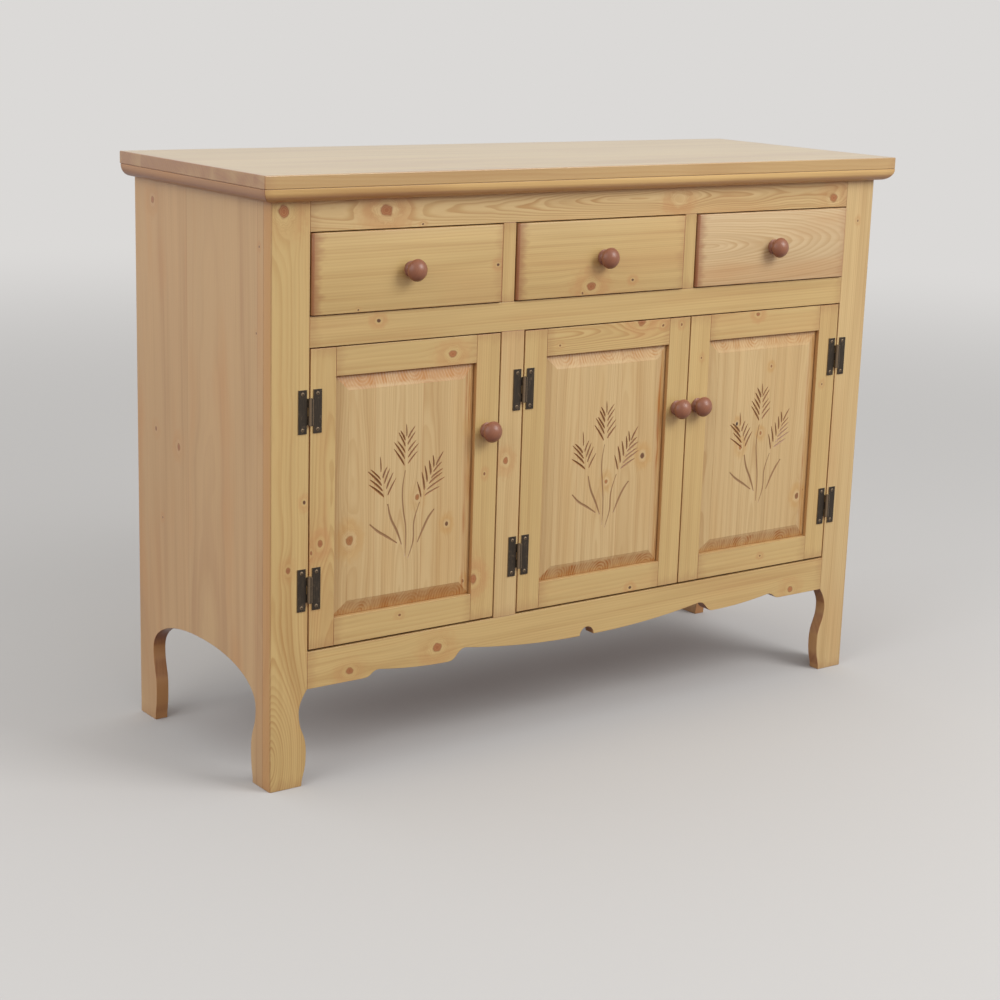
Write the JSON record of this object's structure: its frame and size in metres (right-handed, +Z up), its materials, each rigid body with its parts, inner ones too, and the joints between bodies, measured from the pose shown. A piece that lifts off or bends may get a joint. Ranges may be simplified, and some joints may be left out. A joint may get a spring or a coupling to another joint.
{
  "type": "cabinet",
  "caption": "Country pine sideboard cabinet with drawers above panelled hinged doors, turned wooden knobs, surface hinges, a scalloped apron and shaped feet.",
  "frame": {"origin": "centre of the outer box at floor level", "axes": "+X to the right seen from the front, -Y out of the front (doors and drawers), +Z up"},
  "size_m": [1.146, 0.43, 0.85],
  "materials": {
    "pine_front": "satin clear lacquer, honey tone, knots",
    "pine_panel": "satin clear lacquer, honey tone",
    "pine_drawer": "satin clear lacquer, honey tone",
    "pine_side": "satin clear lacquer, edge-glued boards",
    "pine_top": "satin clear lacquer",
    "pine_inner": "unfinished sanded pine",
    "plywood": "unfinished thin board",
    "cherry_knob": "satin reddish-brown turned wood",
    "dark_bronze": "dark bronze, satin",
    "steel": "bright zinc",
    "catch_body": "brown plastic"
  },
  "bodies": {
    "cabinet": {"face_stile_left": "pine_front", "face_stile_right": "pine_front", "top_rail": "pine_front", "middle_rail": "pine_front", "apron": "pine_front", "mullion": "pine_front", "drawer_dividers": "pine_front", "side_panel_left": "pine_side", "side_panel_right": "pine_side", "top_board": "pine_top", "top_moulding": "pine_top", "bottom_board": "pine_inner", "partition": "pine_inner", "back_rails": "pine_inner", "shelf_left": "pine_inner", "shelf_right": "pine_inner", "drawer_runners": "pine_inner", "drawer_kickers": "pine_inner", "back_panel": "plywood", "shelf_pins": "steel", "magnetic_catches": "catch_body", "hinge_frame_leaves": "dark_bronze", "hinge_pins": "dark_bronze", "hinge_frame_screws": "dark_bronze"},
    "left_door": {"left_door_stiles": "pine_front", "left_door_rails": "pine_front", "left_door_panel": "pine_panel", "left_door_knob": "cherry_knob", "left_door_hinge_leaves": "dark_bronze", "left_door_hinge_screws": "dark_bronze", "left_door_strike_plate": "steel"},
    "middle_door": {"middle_door_stiles": "pine_front", "middle_door_rails": "pine_front", "middle_door_panel": "pine_panel", "middle_door_knob": "cherry_knob", "middle_door_hinge_leaves": "dark_bronze", "middle_door_hinge_screws": "dark_bronze", "middle_door_strike_plate": "steel"},
    "right_door": {"right_door_stiles": "pine_front", "right_door_rails": "pine_front", "right_door_panel": "pine_panel", "right_door_knob": "cherry_knob", "right_door_hinge_leaves": "dark_bronze", "right_door_hinge_screws": "dark_bronze", "right_door_strike_plate": "steel"},
    "left_drawer": {"left_drawer_front": "pine_drawer", "left_drawer_sides": "pine_inner", "left_drawer_back": "pine_inner", "left_drawer_bottom": "plywood", "left_drawer_knob": "cherry_knob"},
    "middle_drawer": {"middle_drawer_front": "pine_drawer", "middle_drawer_sides": "pine_inner", "middle_drawer_back": "pine_inner", "middle_drawer_bottom": "plywood", "middle_drawer_knob": "cherry_knob"},
    "right_drawer": {"right_drawer_front": "pine_drawer", "right_drawer_sides": "pine_inner", "right_drawer_back": "pine_inner", "right_drawer_bottom": "plywood", "right_drawer_knob": "cherry_knob"}
  },
  "joints": [
    {"name": "left_door_hinge", "type": "hinge", "parent": "cabinet", "child": "left_door", "pos_m": [-0.491, -0.18755, 0.409], "axis": [0, 0, -1], "range_deg": [0, 175]},
    {"name": "middle_door_hinge", "type": "hinge", "parent": "cabinet", "child": "middle_door", "pos_m": [-0.13567, -0.18755, 0.409], "axis": [0, 0, -1], "range_deg": [0, 145]},
    {"name": "right_door_hinge", "type": "hinge", "parent": "cabinet", "child": "right_door", "pos_m": [0.491, -0.18755, 0.409], "axis": [0, 0, 1], "range_deg": [0, 175]},
    {"name": "left_drawer_slide", "type": "slide", "parent": "cabinet", "child": "left_drawer", "axis": [0, -1, 0], "range_m": [0, 0.27]},
    {"name": "middle_drawer_slide", "type": "slide", "parent": "cabinet", "child": "middle_drawer", "axis": [0, -1, 0], "range_m": [0, 0.27]},
    {"name": "right_drawer_slide", "type": "slide", "parent": "cabinet", "child": "right_drawer", "axis": [0, -1, 0], "range_m": [0, 0.27]}
  ]
}
